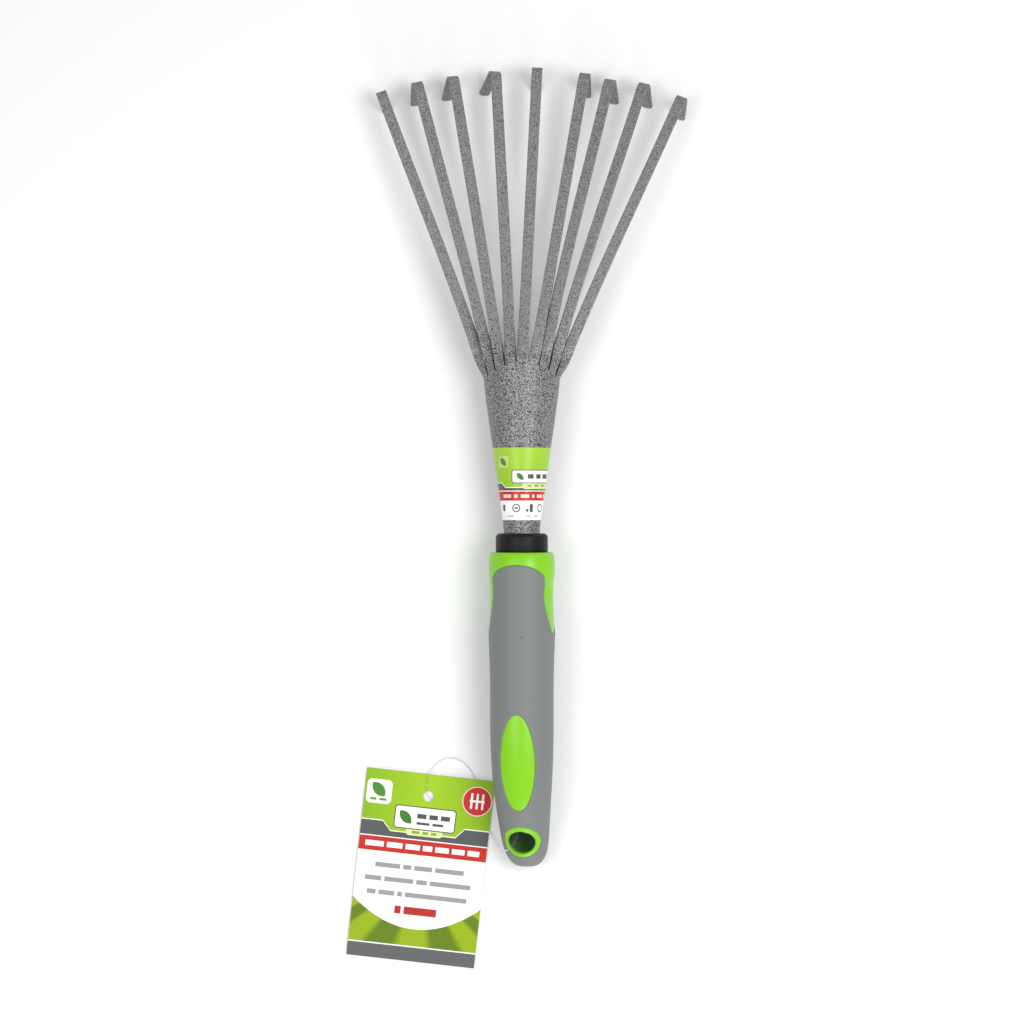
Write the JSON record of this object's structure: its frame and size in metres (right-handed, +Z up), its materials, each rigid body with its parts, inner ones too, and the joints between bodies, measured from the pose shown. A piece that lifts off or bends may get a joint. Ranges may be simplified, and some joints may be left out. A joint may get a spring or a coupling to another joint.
{
  "type": "hand rake",
  "caption": "Hand rake with a fan of hooked sheet-steel spring tines, a flared rolled socket, a collar and a soft-grip handle with a hanging hole and a swing tag.",
  "frame": {"origin": "centre of the rake's own box, on the floor it lies on hooks down, measured without the tag, its loop and the lock", "axes": "+Y from the handle's end to the tine tips, +Z up, away from the hooks, +X to the right seen from above"},
  "size_m": [0.1588, 0.4193, 0.037],
  "materials": {
    "steel_coat": "speckled hammered grey coat",
    "black_plastic": "satin",
    "green_plastic": "satin",
    "grey_grip": "soft matte",
    "label_print": "printed film",
    "tag_print": "printed card",
    "clear_nylon": "translucent nylon"
  },
  "bodies": {
    "rake": {"head_socket": "steel_coat", "collar": "black_plastic", "handle_core": "green_plastic", "grip_sleeve": "grey_grip", "socket_label": "label_print", "hang_tag": "tag_print", "tag_loop": "clear_nylon", "loop_lock": "clear_nylon"},
    "tine_1": {"tine_1": "steel_coat"},
    "tine_2": {"tine_2": "steel_coat"},
    "tine_3": {"tine_3": "steel_coat"},
    "tine_4": {"tine_4": "steel_coat"},
    "tine_5": {"tine_5": "steel_coat"},
    "tine_6": {"tine_6": "steel_coat"},
    "tine_7": {"tine_7": "steel_coat"},
    "tine_8": {"tine_8": "steel_coat"},
    "tine_9": {"tine_9": "steel_coat"}
  },
  "joints": [
    {"name": "tine_1_flex", "type": "hinge", "parent": "rake", "child": "tine_1", "pos_m": [-0.02767, 0.05908, 0.0227], "axis": [0.9384, 0.3456, 0], "range_deg": [-6, 8], "stiffness_Nm_per_rad": 4},
    {"name": "tine_2_flex", "type": "hinge", "parent": "rake", "child": "tine_2", "pos_m": [-0.02323, 0.06234, 0.02679], "axis": [0.9686, 0.2487, 0], "range_deg": [-6, 8], "stiffness_Nm_per_rad": 4},
    {"name": "tine_3_flex", "type": "hinge", "parent": "rake", "child": "tine_3", "pos_m": [-0.01759, 0.06426, 0.02981], "axis": [0.9874, 0.1582, 0], "range_deg": [-6, 8], "stiffness_Nm_per_rad": 4},
    {"name": "tine_4_flex", "type": "hinge", "parent": "rake", "child": "tine_4", "pos_m": [-0.01074, 0.06564, 0.0317], "axis": [0.9988, 0.0499, 0], "range_deg": [-6, 8], "stiffness_Nm_per_rad": 4},
    {"name": "tine_5_flex", "type": "hinge", "parent": "rake", "child": "tine_5", "pos_m": [-0.00359, 0.06653, 0.03245], "axis": [0.9987, -0.0519, 0], "range_deg": [-6, 8], "stiffness_Nm_per_rad": 4},
    {"name": "tine_6_flex", "type": "hinge", "parent": "rake", "child": "tine_6", "pos_m": [0.00395, 0.06557, 0.0318], "axis": [0.9848, -0.1735, 0], "range_deg": [-6, 8], "stiffness_Nm_per_rad": 4},
    {"name": "tine_7_flex", "type": "hinge", "parent": "rake", "child": "tine_7", "pos_m": [0.00963, 0.06431, 0.02985], "axis": [0.9748, -0.2231, 0], "range_deg": [-6, 8], "stiffness_Nm_per_rad": 4},
    {"name": "tine_8_flex", "type": "hinge", "parent": "rake", "child": "tine_8", "pos_m": [0.01506, 0.06213, 0.02679], "axis": [0.953, -0.303, 0], "range_deg": [-6, 8], "stiffness_Nm_per_rad": 4},
    {"name": "tine_9_flex", "type": "hinge", "parent": "rake", "child": "tine_9", "pos_m": [0.01959, 0.05861, 0.02273], "axis": [0.9147, -0.4041, 0], "range_deg": [-6, 8], "stiffness_Nm_per_rad": 4}
  ]
}
